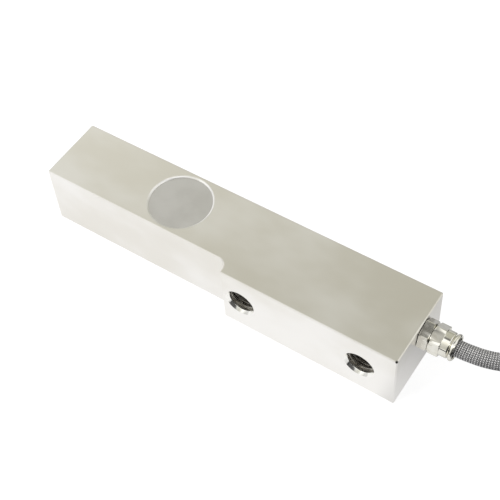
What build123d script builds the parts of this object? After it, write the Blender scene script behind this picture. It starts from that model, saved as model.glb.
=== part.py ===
# Single ended shear beam load cell with a stepped mounting pad, a plated brass gland and a braided cable.
# It lies on its side: +X runs along the beam to the cable end, the mounting pad faces -Y,
# and +Z is up, out of the sealed gauge pocket. The load acts along Y. Millimetres.
import os
from math import cos, pi, radians, sin, tan

from build123d import *

os.makedirs("parts", exist_ok=True)

# Beam
beam_length = 211.0
beam_height = 38.0
live_depth = 38.0
pad_step = 7.0
pad_length = 97.5
cove_radius = 5.0
edge_chamfer = 0.5

# Tapped holes, M16 by 2
thread_radius = 8.0
tap_drill_radius = 6.92
thread_depth = 26.0
drill_overrun = 3.0
drill_point_angle = 118.0
mouth_chamfer = 0.3
hole_from_cable_end = 19.5
hole_spacing = 67.5
load_hole_from_free_end = 19.0

# Gauge pockets, one on each side of a thin web
pocket_from_free_end = 72.0
pocket_radius = 14.5
recess_radius = 16.5
recess_lip = 0.8
web_thickness = 7.0
cover_thickness = 0.9
cover_gap = 0.05

# Strain gauges and the circuit in the upper pocket
gauge_side = 9.0
gauge_thickness = 0.3
board_radius = 12.0
board_thickness = 1.2
post_radius = 1.1
post_circle = 9.5
resistor_length = 3.2
resistor_width = 1.6
resistor_height = 1.0
resistor_offset = 6.0
terminal_length = 4.0
terminal_width = 4.4
terminal_height = 2.0
link_hole_radius = 1.3
link_circle = 10.0
link_angle = 30.0
link_wire_radius = 0.4
gauge_wire_radius = 0.25
gauge_wire_offset = 2.8

# Cable entry
gland_height = 29.3
channel_radius = 1.8
channel_rise = 1.2
lead_drop = 0.2
entry_depth = 12.0
entry_thread_radius = 6.0
thread_clearance = 0.05
fit_clearance = 0.05
gland_thread_length = 9.0
seal_thickness = 0.5
seal_outer_radius = 6.9
hex_across_flats = 14.0
hex_chamfer = 0.5
body_hex_end = 4.8
body_hex_turn = 17.0
nut_hex_turn = 22.0
neck_radius = 5.3
nut_start = 5.6
nut_hex_end = 11.0
nut_round_radius = 6.6
nut_end = 15.0
neck_thread_radius = 5.7
neck_end = 10.2
bush_start = 5.5
bush_radius = 4.15
washer_end = 10.8
ferrule_sleeve_radius = 4.95
ferrule_groove = 0.5
ferrule_flange_radius = 6.9
ferrule_end = 17.7
ferrule_mouth_radius = 5.6

# Cable
braid_radius = 4.1
jacket_radius = 2.6
jacket_inside = 6.0
cable_start = 12.0
lead_radius = 0.45

# Coiled length of the cable, folded into a flat hank past the cable end
hank_run = 167.0
hank_gap = 88.35
hank_inner_bend = 24.6
hank_layers = 3
hank_slack = 0.08
hank_end_share = 0.63
join_run = 12.8
join_lift = 0.2
tie_width = 4.0
tie_thickness = 1.0
tie_gap = 0.2
tie_head_length = 5.0
tie_head_width = 6.0
tie_head_height = 4.0
tie_head_corner = 0.6
sleeve_length = 20.0
sleeve_radius = 4.0
sleeve_taper = 5.0
sleeve_end_radius = 3.0
tail_length = 42.0
tail_straight = 6.0
tail_bend = 20.0
tail_drift = 3.0
tail_lift = 0.2
tail_gap = 0.05
tail_tip = 5.0
tail_tip_radius = 0.28

# Places that follow from the sizes
pad_depth = live_depth + pad_step
free_end = -(beam_length + ferrule_end) / 2
cable_end = free_end + beam_length
pad_start = cable_end - pad_length
rear_face = pad_depth / 2
pad_face = -pad_depth / 2
live_face = rear_face - live_depth
live_middle = rear_face - live_depth / 2
mid_height = beam_height / 2
pocket_x = free_end + pocket_from_free_end
web_top = mid_height + web_thickness / 2
web_bottom = mid_height - web_thickness / 2
cover_top = beam_height - recess_lip
lead_row = gland_height + channel_rise - lead_radius - lead_drop
board_top = lead_row - lead_radius
board_bottom = board_top - board_thickness
gland_centre = (cable_end, live_middle, gland_height)
gland_plane = Plane(origin=gland_centre, x_dir=(0, 1, 0), z_dir=(1, 0, 0))
gland_section = Plane(origin=gland_centre, x_dir=(1, 0, 0), z_dir=(0, -1, 0))
gland_axis = Axis(gland_centre, (1, 0, 0))


def save(block, label):
    block.part.label = label
    export_step(block.part, f"parts/{label}.step")


def gland_at(offset):
    """The plane across the gland's axis, this far out from the beam's end face."""
    return gland_plane.offset(offset)


def pocket_plane(height):
    """A level plane with its origin on the gauge pocket's axis."""
    return Plane(origin=(pocket_x, live_middle, height))


def tapped_hole():
    """Cuts a blind tapped hole at each location: thread, tap drill, drill point and mouth."""
    drill_depth = thread_depth + drill_overrun
    point = tap_drill_radius / tan(radians(drill_point_angle / 2))
    CounterSinkHole(thread_radius, thread_radius + mouth_chamfer, thread_depth, 90)
    Hole(tap_drill_radius, drill_depth)
    with Locations((0, 0, -drill_depth)):
        Cone(0, tap_drill_radius, point, align=(Align.CENTER, Align.CENTER, Align.MAX), mode=Mode.SUBTRACT)


# Beam body
with BuildPart() as beam_body:
    with BuildSketch(Plane.XY):
        with BuildLine():
            Polyline(
                (free_end, rear_face),
                (cable_end, rear_face),
                (cable_end, pad_face),
                (pad_start, pad_face),
                (pad_start, live_face),
                (free_end, live_face),
                close=True,
            )
        make_face()
    extrude(amount=beam_height)
    upright = beam_body.edges().filter_by(Axis.Z).group_by(Axis.X)
    fillet(upright[1].sort_by(Axis.Y)[-1], cove_radius)
    upright = beam_body.edges().filter_by(Axis.Z).group_by(Axis.X)
    corners = upright[0] + upright[-1]
    corners += beam_body.edges().filter_by(Axis.Z).group_by(Axis.Y)[0].sort_by(Axis.X)[:1]
    chamfer(corners, edge_chamfer)
    rims = beam_body.faces().filter_by(Axis.Z).edges()
    chamfer(rims, edge_chamfer)
    for face, side in ((beam_height, 1), (0.0, -1)):
        with BuildSketch(Plane(origin=(pocket_x, live_middle, face), x_dir=(1, 0, 0), z_dir=(0, -side, 0))):
            with BuildLine():
                Polyline(
                    (0, 0),
                    (recess_radius + recess_lip, 0),
                    (recess_radius, -recess_lip),
                    (recess_radius, -recess_lip - cover_thickness),
                    (pocket_radius, -recess_lip - cover_thickness),
                    (pocket_radius, -(beam_height - web_thickness) / 2),
                    (0, -(beam_height - web_thickness) / 2),
                    close=True,
                )
            make_face()
        revolve(axis=Axis((pocket_x, live_middle, 0), (0, 0, 1)), mode=Mode.SUBTRACT)
    pad_plane = Plane(origin=(cable_end, pad_face, mid_height), x_dir=(-1, 0, 0), z_dir=(0, -1, 0))
    for across in (hole_from_cable_end, hole_from_cable_end + hole_spacing):
        with Locations(pad_plane.location * Location((across, 0, 0))):
            tapped_hole()
    rear_plane = Plane(origin=(free_end, rear_face, mid_height), x_dir=(1, 0, 0), z_dir=(0, 1, 0))
    with Locations(rear_plane.location * Location((load_hole_from_free_end, 0, 0))):
        tapped_hole()
    with BuildSketch(gland_at(0)):
        Circle(entry_thread_radius + thread_clearance)
    extrude(amount=-entry_depth, mode=Mode.SUBTRACT)
    channel_reach = cable_end - pocket_x
    with BuildSketch(gland_at(0)):
        with Locations((0, channel_rise)):
            Circle(channel_radius)
    extrude(amount=-channel_reach, mode=Mode.SUBTRACT)
    with BuildSketch(pocket_plane(0)):
        with PolarLocations(link_circle, 1, start_angle=link_angle):
            Circle(link_hole_radius)
    extrude(amount=beam_height, mode=Mode.SUBTRACT)
save(beam_body, "beam_body")

# Cover discs, pressed into the recesses below the faces
for label, seat in (("top_cover_disc", cover_top - cover_thickness), ("bottom_cover_disc", recess_lip)):
    with BuildPart() as cover_disc:
        with BuildSketch(pocket_plane(seat)):
            Circle(recess_radius - cover_gap)
        extrude(amount=cover_thickness)
    save(cover_disc, label)

# Shear gauges, bonded at 45 degrees on both sides of the web
for label, seat in (("top_shear_gauge", web_top), ("bottom_shear_gauge", web_bottom - gauge_thickness)):
    with BuildPart() as shear_gauge:
        with BuildSketch(pocket_plane(seat)):
            Rectangle(gauge_side, gauge_side, rotation=45)
        extrude(amount=gauge_thickness)
    save(shear_gauge, label)

# Circuit board on three posts
with BuildPart() as board_posts:
    with BuildSketch(pocket_plane(web_top)):
        with PolarLocations(post_circle, 3, start_angle=90):
            Circle(post_radius)
    extrude(amount=board_bottom - web_top)
save(board_posts, "board_posts")

with BuildPart() as circuit_board:
    with BuildSketch(pocket_plane(board_bottom)):
        Circle(board_radius)
    extrude(amount=board_thickness)
save(circuit_board, "circuit_board")

with BuildPart() as trim_resistors:
    with BuildSketch(pocket_plane(board_top)):
        with Locations((resistor_offset, resistor_offset), (0, resistor_offset), (0, -resistor_offset)):
            Rectangle(resistor_length, resistor_width)
    extrude(amount=resistor_height)
save(trim_resistors, "trim_resistors")

with BuildPart() as terminal_strip:
    with BuildSketch(pocket_plane(board_top)):
        with Locations((-terminal_length / 2, 0)):
            Rectangle(terminal_length, terminal_width)
    extrude(amount=terminal_height)
save(terminal_strip, "terminal_strip")

# Fine wires from the gauges up to the board
with BuildPart() as gauge_wires:
    with BuildSketch(pocket_plane(web_top + gauge_thickness)):
        with PolarLocations(gauge_wire_offset, 4):
            Circle(gauge_wire_radius)
    extrude(amount=board_bottom - web_top - gauge_thickness)
save(gauge_wires, "gauge_wires")

link_x = pocket_x + link_circle * cos(radians(link_angle))
link_y = live_middle + link_circle * sin(radians(link_angle))
link_low = web_bottom - gauge_thickness - link_wire_radius
with BuildPart() as web_link:
    with BuildLine():
        FilletPolyline(
            (link_x, link_y, board_bottom),
            (link_x, link_y, link_low),
            (pocket_x + gauge_wire_offset, live_middle + gauge_wire_offset / 2, link_low),
            radius=3 * link_wire_radius,
        )
    with BuildSketch(Plane(origin=(link_x, link_y, board_bottom), z_dir=(0, 0, -1))):
        Circle(link_wire_radius)
    sweep()
save(web_link, "web_link")

# Four insulated leads, two over two, from the cable's jacket along the channel to the terminals
for label, across, row in (
    ("red_lead", -1, 0),
    ("black_lead", 1, 0),
    ("green_lead", -1, 1),
    ("white_lead", 1, 1),
):
    with BuildPart() as lead:
        start = Plane(origin=(cable_end - jacket_inside, live_middle, lead_row), x_dir=(0, -1, 0), z_dir=(-1, 0, 0))
        with BuildSketch(start):
            with Locations((across * lead_radius, 2 * lead_radius * row)):
                Circle(lead_radius)
        extrude(amount=cable_end - jacket_inside - pocket_x)
    save(lead, label)

# Gland
with BuildPart() as gland_seal:
    with BuildSketch(gland_at(0)):
        Circle(seal_outer_radius)
        Circle(entry_thread_radius + thread_clearance, mode=Mode.SUBTRACT)
    extrude(amount=seal_thickness)
save(gland_seal, "gland_seal")


def hex_prism(start, end, turn):
    """A hexagon with its corners turned off at both ends, about the gland's axis."""
    with BuildSketch(gland_at(start)) as hexagon:
        RegularPolygon(hex_across_flats / 2, 6, major_radius=False, rotation=turn)
    extrude(hexagon.sketch, amount=end - start)
    corner = hex_across_flats / 2 / cos(pi / 6)
    with BuildSketch(gland_section) as turned:
        with BuildLine():
            Polyline(
                (start, 0),
                (start, hex_across_flats / 2 + hex_chamfer / 4),
                (start + hex_chamfer, corner + hex_chamfer / 4),
                (end - hex_chamfer, corner + hex_chamfer / 4),
                (end, hex_across_flats / 2 + hex_chamfer / 4),
                (end, 0),
                close=True,
            )
        make_face()
    revolve(turned.sketch, axis=gland_axis, mode=Mode.INTERSECT)


with BuildPart() as gland_body:
    hex_prism(seal_thickness, body_hex_end, body_hex_turn)
    with BuildSketch(gland_at(-gland_thread_length)):
        Circle(entry_thread_radius)
    extrude(amount=gland_thread_length + seal_thickness)
    with BuildSketch(gland_at(body_hex_end)):
        Circle(neck_radius)
    extrude(amount=nut_start - body_hex_end)
    with BuildSketch(gland_at(nut_start)):
        Circle(neck_thread_radius)
    extrude(amount=neck_end - nut_start)
    thread_start = gland_body.edges().filter_by(GeomType.CIRCLE).group_by(Axis.X)[0]
    chamfer(thread_start, hex_chamfer)
    with BuildSketch(gland_at(-gland_thread_length)):
        Circle(jacket_radius + fit_clearance)
    extrude(amount=gland_thread_length + neck_end, mode=Mode.SUBTRACT)
    with BuildSketch(gland_at(bush_start)):
        Circle(bush_radius + fit_clearance)
    extrude(amount=neck_end - bush_start, mode=Mode.SUBTRACT)
save(gland_body, "gland_body")

with BuildPart() as gland_bush:
    with BuildSketch(gland_at(bush_start)):
        Circle(bush_radius)
        Circle(jacket_radius + fit_clearance, mode=Mode.SUBTRACT)
    extrude(amount=neck_end - bush_start)
save(gland_bush, "gland_bush")

with BuildPart() as gland_washer:
    with BuildSketch(gland_at(neck_end)):
        Circle(neck_thread_radius)
        Circle(jacket_radius + fit_clearance, mode=Mode.SUBTRACT)
    extrude(amount=washer_end - neck_end)
save(gland_washer, "gland_washer")

with BuildPart() as gland_nut:
    hex_prism(nut_start, nut_hex_end, nut_hex_turn)
    with BuildSketch(gland_at(nut_hex_end)):
        Circle(nut_round_radius)
    extrude(amount=nut_end - nut_hex_end)
    round_rim = gland_nut.edges().filter_by(GeomType.CIRCLE).group_by(Axis.X)[-1]
    fillet(round_rim, hex_chamfer)
    with BuildSketch(gland_at(nut_start)):
        Circle(neck_thread_radius + thread_clearance)
    extrude(amount=washer_end - nut_start, mode=Mode.SUBTRACT)
    with BuildSketch(gland_at(washer_end)):
        Circle(ferrule_sleeve_radius + fit_clearance)
    extrude(amount=nut_end - washer_end, mode=Mode.SUBTRACT)
save(gland_nut, "gland_nut")

# Ferrule with a rolled, flared mouth that grips the braid
with BuildPart() as braid_ferrule:
    roll = (ferrule_end - nut_end - ferrule_groove) / 2
    roll_middle = ferrule_end - roll
    with BuildSketch(gland_section):
        with BuildLine():
            Polyline(
                (roll_middle, braid_radius + fit_clearance),
                (washer_end, braid_radius + fit_clearance),
                (washer_end, ferrule_sleeve_radius),
                (roll_middle - roll, ferrule_sleeve_radius),
                (roll_middle - roll, ferrule_flange_radius - roll),
            )
            ThreePointArc(
                (roll_middle - roll, ferrule_flange_radius - roll),
                (roll_middle, ferrule_flange_radius),
                (ferrule_end, ferrule_flange_radius - roll),
            )
            Polyline(
                (ferrule_end, ferrule_flange_radius - roll),
                (ferrule_end, ferrule_mouth_radius),
                (roll_middle, braid_radius + fit_clearance),
            )
        make_face()
    revolve(axis=gland_axis)
save(braid_ferrule, "braid_ferrule")

# Inner jacket, from inside the beam to where the braid takes over
with BuildPart() as inner_jacket:
    with BuildSketch(gland_at(-jacket_inside)):
        Circle(jacket_radius)
    extrude(amount=jacket_inside + cable_start)
save(inner_jacket, "inner_jacket")

# Hank of cable: two lanes of three layers, wound as one flat loop
pitch = 2 * braid_radius
hank_outer_bend = hank_inner_bend + pitch
hank_lift = tie_thickness + tie_gap
layer_height = hank_lift + braid_radius
top_layer = layer_height + pitch * hank_layers
bend_start = cable_end + hank_gap
bend_end = bend_start + hank_run
join_x = bend_start + join_run
join_height = top_layer + join_lift
step_start = bend_start + hank_run / 5
step_end = bend_end - hank_run / 4
step_radius = 10 * pitch
far_end_x = bend_end - hank_end_share * hank_run

# Cable from the ferrule to the hank
route = [
    (cable_end + cable_start, live_middle, gland_height),
    (cable_end + 22.0, live_middle, gland_height),
    (cable_end + 36.8, live_middle + 2.6, gland_height + 0.2),
    (cable_end + 52.7, live_middle + 11.0, gland_height + 0.8),
    (cable_end + 66.5, live_middle + 22.6, top_layer + 0.3),
    (cable_end + 83.2, hank_outer_bend, join_height),
    (join_x, hank_outer_bend, join_height),
]


def bend_radii(points):
    """The largest radius that each corner's two runs allow."""
    radii = []
    for before, at, after in zip(points, points[1:], points[2:]):
        first = Vector(*at) - Vector(*before)
        second = Vector(*after) - Vector(*at)
        turn = radians(first.get_angle(second))
        radii.append(0.45 * min(first.length, second.length) / tan(turn / 2))
    return radii


route_radii = bend_radii(route)
with BuildPart() as cable_run:
    with BuildLine() as run_line:
        FilletPolyline(*route, radius=route_radii)
    with BuildSketch(gland_at(cable_start)):
        Circle(braid_radius)
    sweep()
save(cable_run, "cable_run")

with BuildPart() as cable_hank:
    turn_radius = braid_radius + hank_slack
    with BuildSketch(Plane.XY.offset(hank_lift - hank_slack)):
        with Locations(((bend_start + bend_end) / 2, 0)):
            SlotCenterToCenter(hank_run, 2 * (hank_outer_bend + turn_radius))
            SlotCenterToCenter(hank_run, 2 * (hank_inner_bend - turn_radius), mode=Mode.SUBTRACT)
    extrude(amount=pitch * hank_layers + 2 * hank_slack)
    fillet(cable_hank.faces().sort_by(Axis.Z)[-1].edges(), turn_radius)
    fillet(cable_hank.faces().sort_by(Axis.Z)[0].edges(), turn_radius)
    with BuildLine() as entry_line:
        FilletPolyline(
            (join_x, hank_outer_bend, join_height),
            (step_start, hank_outer_bend, join_height),
            (step_end, hank_outer_bend, join_height - pitch),
            radius=step_radius,
        )
    with BuildSketch(Plane(origin=(join_x, hank_outer_bend, join_height), z_dir=(1, 0, 0))):
        Circle(braid_radius)
    sweep(path=entry_line.wire())
    with BuildLine() as top_line:
        FilletPolyline(
            (step_start, hank_inner_bend, top_layer - pitch),
            (step_end, hank_inner_bend, top_layer),
            (bend_end, hank_inner_bend, top_layer),
            radius=step_radius,
        )
        ThreePointArc(
            (bend_end, hank_inner_bend, top_layer),
            (bend_end + hank_inner_bend, 0, top_layer),
            (bend_end, -hank_inner_bend, top_layer),
        )
        Line((bend_end, -hank_inner_bend, top_layer), (far_end_x, -hank_inner_bend, top_layer))
    far_plane = Plane(origin=(far_end_x, -hank_inner_bend, top_layer), z_dir=(1, 0, 0))
    with BuildSketch(far_plane):
        Circle(braid_radius)
    sweep(path=top_line.wire())
save(cable_hank, "cable_hank")

# Cable ties round the seven turns
tie_spots = (
    ("near_tie", Plane(origin=(step_end, 0, 0), x_dir=(0, -1, 0), z_dir=(-1, 0, 0))),
    ("end_tie", Plane(origin=(bend_end, 0, 0), x_dir=(1, 0, 0), z_dir=(0, -1, 0))),
)
for label, across in tie_spots:
    with BuildPart() as tie:
        with BuildSketch(across):
            with BuildSketch(mode=Mode.PRIVATE) as corner_turns:
                with BuildLine():
                    Polyline(
                        (hank_inner_bend, layer_height),
                        (hank_outer_bend, layer_height),
                        (hank_outer_bend, top_layer - pitch),
                        (hank_inner_bend, top_layer),
                        close=True,
                    )
                make_face()
            offset(corner_turns.sketch, amount=braid_radius + tie_gap + tie_thickness)
            offset(corner_turns.sketch, amount=braid_radius + tie_gap, mode=Mode.SUBTRACT)
        extrude(amount=tie_width / 2, both=True)
        head_seat = top_layer + braid_radius + tie_gap + tie_thickness / 2
        with BuildSketch(across):
            with Locations((hank_inner_bend, head_seat + tie_head_height / 2)):
                RectangleRounded(tie_head_width, tie_head_height, tie_head_corner)
        extrude(amount=tie_head_length / 2, both=True)
    save(tie, label)

# Shrink sleeve over the braid's end
end_plane = Plane(origin=(far_end_x, -hank_inner_bend, top_layer), x_dir=(-1, 0, 0), z_dir=(0, 1, 0))
with BuildPart() as end_sleeve:
    with BuildSketch(end_plane):
        with BuildLine():
            shoulder = sleeve_length - 2 * sleeve_taper
            Polyline(
                (0, 0),
                (0, sleeve_radius),
                (shoulder, sleeve_radius),
                (shoulder + sleeve_taper, sleeve_end_radius),
                (sleeve_length, sleeve_end_radius),
                (sleeve_length, 0),
                close=True,
            )
        make_face()
    revolve(axis=Axis((far_end_x, -hank_inner_bend, top_layer), (1, 0, 0)))
save(end_sleeve, "end_sleeve")

# Bare leads and shield at the cable's far end, fanned out on the layer below
sleeve_tip_x = far_end_x - sleeve_length
rest_height = top_layer - braid_radius + lead_radius + tail_gap
tails = (
    ("red_tail", 1.4, 0.6, 9.0),
    ("black_tail", 0.6, -1.0, 5.0),
    ("green_tail", -0.4, 1.0, 0.5),
    ("white_tail", -1.2, -0.4, -4.0),
    ("shield_tail", -0.2, -0.2, 2.8),
)


def tail_points(across, up, fan):
    """Where a tail leaves the sleeve, straightens, bends down and ends."""
    return [
        (sleeve_tip_x, -hank_inner_bend + across, top_layer + up),
        (sleeve_tip_x - tail_straight, -hank_inner_bend + across, top_layer + up),
        (sleeve_tip_x - tail_bend, -hank_inner_bend + (across + fan) / 2, rest_height + tail_lift),
        (sleeve_tip_x - tail_length, -hank_inner_bend + fan - tail_drift, rest_height),
    ]


for label, across, up, fan in tails:
    tail_route = tail_points(across, up, fan)
    with BuildPart() as tail:
        with BuildLine():
            FilletPolyline(*tail_route, radius=[0.8 * r for r in bend_radii(tail_route)])
        with BuildSketch(Plane(origin=tail_route[0], z_dir=(-1, 0, 0))):
            Circle(lead_radius)
        sweep()
    save(tail, label)

# Tinned tip of each tail
with BuildPart() as tail_tips:
    for label, across, up, fan in tails:
        before, last = [Vector(*point) for point in tail_points(across, up, fan)[-2:]]
        with BuildSketch(Plane(origin=last, z_dir=last - before)):
            Circle(tail_tip_radius)
        extrude(amount=tail_tip)
save(tail_tips, "tail_tips")

outer_bend_length = pi * hank_outer_bend
inner_bend_length = pi * hank_inner_bend
outer_lane = 6 * hank_run - (join_x - bend_start) + 5 * outer_bend_length
inner_lane = (5 + hank_end_share) * hank_run + 6 * inner_bend_length
run_length = run_line.wire().length
print("route radii", [round(r, 1) for r in route_radii])
print("cable run", round(run_length, 1), "volume over section", cable_run.part.volume / (pi * braid_radius**2))
print("cable length", round(run_length + outer_lane + inner_lane, 1))
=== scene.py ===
# Beam load cell on a white floor: plated bar, bright gland, braided cable folded into a hank
from math import acos, cos, pi, radians, sin

import bmesh
import bpy
from mathutils import Matrix, Vector


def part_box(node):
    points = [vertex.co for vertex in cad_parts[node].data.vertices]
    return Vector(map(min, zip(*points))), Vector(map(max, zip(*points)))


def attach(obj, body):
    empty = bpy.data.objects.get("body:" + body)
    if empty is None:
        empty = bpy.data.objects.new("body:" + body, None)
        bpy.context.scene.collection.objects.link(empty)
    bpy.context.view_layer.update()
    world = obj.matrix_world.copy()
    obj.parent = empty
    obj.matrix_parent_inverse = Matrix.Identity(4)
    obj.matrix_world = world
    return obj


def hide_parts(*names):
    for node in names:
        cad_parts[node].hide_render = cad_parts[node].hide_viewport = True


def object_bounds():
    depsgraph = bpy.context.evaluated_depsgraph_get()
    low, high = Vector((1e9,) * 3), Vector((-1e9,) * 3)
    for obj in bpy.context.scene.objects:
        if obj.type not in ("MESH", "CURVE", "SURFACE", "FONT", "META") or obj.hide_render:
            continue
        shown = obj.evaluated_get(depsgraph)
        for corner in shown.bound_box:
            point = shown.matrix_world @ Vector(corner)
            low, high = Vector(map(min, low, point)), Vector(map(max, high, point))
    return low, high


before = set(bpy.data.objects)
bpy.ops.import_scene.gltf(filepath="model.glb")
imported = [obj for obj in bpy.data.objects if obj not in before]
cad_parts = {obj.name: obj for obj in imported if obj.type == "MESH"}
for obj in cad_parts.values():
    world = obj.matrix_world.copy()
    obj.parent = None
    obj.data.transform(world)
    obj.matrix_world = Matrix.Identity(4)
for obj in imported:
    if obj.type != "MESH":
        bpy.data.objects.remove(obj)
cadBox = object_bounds()
mm = 0.001
body = "root"

beamLow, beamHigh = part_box("beam_body")
cableEnd = beamHigh.x  # the end face that the gland screws into
padFace = beamLow.y  # the face with the two tapped holes
rearFace = beamHigh.y
beamTop = beamHigh.z
liveMiddle = beamHigh.y - beamHigh.z / 2  # middle of the 38 mm square bar
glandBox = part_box("gland_seal")
glandHeight = (glandBox[0].z + glandBox[1].z) / 2
glandCentre = Vector((cableEnd, liveMiddle, glandHeight))


# Small helpers for objects, meshes and node trees

def makeObject(name, data):
    thing = bpy.data.objects.new(name, data)
    bpy.context.scene.collection.objects.link(thing)
    return thing


def makeMesh(name, points, faces, sharpAngle):
    mesh = bpy.data.meshes.new(name)
    mesh.from_pydata([tuple(p) for p in points], [], faces)
    mesh.update()
    tidy = bmesh.new()
    tidy.from_mesh(mesh)
    bmesh.ops.remove_doubles(tidy, verts=tidy.verts, dist=1e-7)
    bmesh.ops.recalc_face_normals(tidy, faces=tidy.faces)
    tidy.to_mesh(mesh)
    tidy.free()
    mesh.shade_smooth()
    mesh.set_sharp_from_angle(angle=radians(sharpAngle))
    return mesh


def feed(tree, value, socket):
    if isinstance(value, bpy.types.NodeSocket):
        tree.links.new(value, socket)
    else:
        socket.default_value = value


def addNode(tree, kind, settings=None, **inputs):
    node = tree.nodes.new(kind)
    for key, value in (settings or {}).items():
        setattr(node, key, value)
    for key, value in inputs.items():
        feed(tree, value, node.inputs[key])
    return node


def calc(tree, operation, *values):
    node = tree.nodes.new("ShaderNodeMath")
    node.operation = operation
    for value, socket in zip(values, node.inputs):
        feed(tree, value, socket)
    return node.outputs[0]


def vectorCalc(tree, operation, *values):
    node = tree.nodes.new("ShaderNodeVectorMath")
    node.operation = operation
    sockets = [socket for socket in node.inputs if socket.enabled]
    if operation == "SCALE":
        sockets = [node.inputs[0], node.inputs["Scale"]]
    for value, socket in zip(values, sockets):
        feed(tree, value, socket)
    return node.outputs["Value" if operation in ("DISTANCE", "LENGTH", "DOT_PRODUCT") else "Vector"]


def ramp(tree, value, low, high, first=0.0, last=1.0):
    node = addNode(tree, "ShaderNodeMapRange", Value=value)
    node.interpolation_type = "SMOOTHSTEP"
    for name, number in (("From Min", low), ("From Max", high), ("To Min", first), ("To Max", last)):
        feed(tree, number, node.inputs[name])
    return node.outputs["Result"]


def blendColours(tree, share, first, second):
    node = tree.nodes.new("ShaderNodeMix")
    node.data_type = "RGBA"
    feed(tree, share, node.inputs["Factor"])
    # the colour inputs are named A and B, as its other inputs are, so they are taken by number
    for value, socket in ((first, node.inputs[6]), (second, node.inputs[7])):
        feed(tree, value, socket)
    return node.outputs[2]


def noise(tree, place, scale, detail):
    return addNode(tree, "ShaderNodeTexNoise", Vector=place, Scale=scale, Detail=detail).outputs["Fac"]


def objectPlace(tree):
    return addNode(tree, "ShaderNodeTexCoord").outputs["Object"]


def newGroup(name, kind, inputs, outputs):
    tree = bpy.data.node_groups.new(name, kind)
    for label, socketType, default in inputs:
        socket = tree.interface.new_socket(name=label, in_out="INPUT", socket_type=socketType)
        if default is not None:
            socket.default_value = default
    for label, socketType in outputs:
        tree.interface.new_socket(name=label, in_out="OUTPUT", socket_type=socketType)
    return tree, tree.nodes.new("NodeGroupInput").outputs, tree.nodes.new("NodeGroupOutput").inputs


def runTree(name, tree, settings, start=None):
    # the modifier's inputs are set by identifier, and its result becomes a plain mesh
    thing = makeObject(name, start or bpy.data.meshes.new(name))
    modifier = thing.modifiers.new(name, "NODES")
    modifier.node_group = tree
    for socket in tree.interface.items_tree:
        if socket.in_out == "INPUT" and socket.name in settings:
            modifier[socket.identifier] = settings[socket.name]
    seen = thing.evaluated_get(bpy.context.evaluated_depsgraph_get())
    made = bpy.data.meshes.new_from_object(seen)
    thing.modifiers.remove(modifier)
    thing.data = made
    made.name = name
    return thing


# Camera, as the photo was taken: from the pad side, above the cable end

cameraSetup = {
    "place": (0.2053, -0.2655, 0.4808),
    "right": (0.8343, 0.5487, -0.0537),
    "forward": (-0.3634, 0.4740, -0.8020),
    "lens": 81.3,
    "sensor": 36.0,
    "clip": (0.01, 50),
}


def addCamera():
    data = bpy.data.cameras.new("photoCamera")
    data.lens, data.sensor_width = cameraSetup["lens"], cameraSetup["sensor"]
    data.clip_start, data.clip_end = cameraSetup["clip"]
    right = Vector(cameraSetup["right"]).normalized()
    back = -Vector(cameraSetup["forward"]).normalized()
    up = back.cross(right).normalized()
    turn = Matrix((up.cross(back), up, back)).transposed().to_4x4()
    thing = makeObject("photoCamera", data)
    thing.matrix_world = Matrix.Translation(cameraSetup["place"]) @ turn
    bpy.context.scene.camera = thing


addCamera()
print("camera set")


# Cable line: the free route, then the hank that it is folded into

cable = {
    "radius": 4.1,
    "length": 3.005,
    "mouth": 17.7,  # the ferrule's mouth, out from the end face
    "routeFromEnd": [  # x from the end face, y and z
        (12.0, 3.5, 29.3),
        (22.0, 3.5, 29.3),
        (36.8, 6.1, 29.5),
        (52.7, 14.5, 30.1),
        (66.5, 26.1, 30.2),
        (83.2, 32.8, 30.1),
        (101.15, 32.8, 30.1),
    ],
    "hankStart": 88.35,  # the first bend's centre, out from the end face
    "hankRun": 167.0,
    "outerBend": 32.8,
    "innerBend": 24.6,
    "lowestTurn": 5.3,
    "layers": 3,
    "stepFrom": 0.2,  # where each rear run changes layer, as shares of the run
    "stepTo": 0.75,
    "farEnd": 0.37,  # where the last near run ends, as a share of the run
    "bendPoints": 8,
    "lineSteps": 12,
    "tubeStep": 2.0,
    "tubeSides": 24,
}


def halfTurn(centreX, radius, height, side):
    # the points stand outside the bend, so that the smooth line runs at its radius
    count = cable["bendPoints"]
    reach = radius / cos(pi / (2 * count))
    angles = [pi / 2 - pi * (k + 0.5) / count for k in range(count)]
    return [(centreX + side * reach * cos(a), side * reach * sin(a), height) for a in angles]


def cablePoints():
    first = cableEnd / mm + cable["hankStart"]
    last = first + cable["hankRun"]
    stepFrom, stepTo = (first + cable[share] * cable["hankRun"] for share in ("stepFrom", "stepTo"))
    pitch = 2 * cable["radius"]
    outer, inner = cable["outerBend"], cable["innerBend"]
    points = [(cableEnd / mm + x, y, z) for x, y, z in cable["routeFromEnd"]]
    height = points[-1][2]
    for turn in range(cable["layers"]):
        lower = cable["lowestTurn"] + pitch * (cable["layers"] - 1 - turn)
        back = outer if turn < cable["layers"] - 1 else inner
        points += [(stepFrom, outer, height), (stepTo, outer, lower)]
        points += halfTurn(last, outer, lower, 1)
        points += [(stepTo, -outer, lower), (stepFrom, -back, lower)]
        points += halfTurn(first, back, lower, -1)
        height = lower
    for turn in range(cable["layers"]):
        upper = cable["lowestTurn"] + pitch * (turn + 1)
        points += [(stepFrom, inner, height), (stepTo, inner, upper)]
        points += halfTurn(last, inner, upper, 1)
        if turn < cable["layers"] - 1:
            points += [(stepTo, -inner, upper), (stepFrom, -inner, upper)]
            points += halfTurn(first, inner, upper, -1)
        height = upper
    points += [(stepTo, -inner, height), (first + cable["farEnd"] * cable["hankRun"], -inner, height)]
    return [Vector(p) * mm for p in points]


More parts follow.
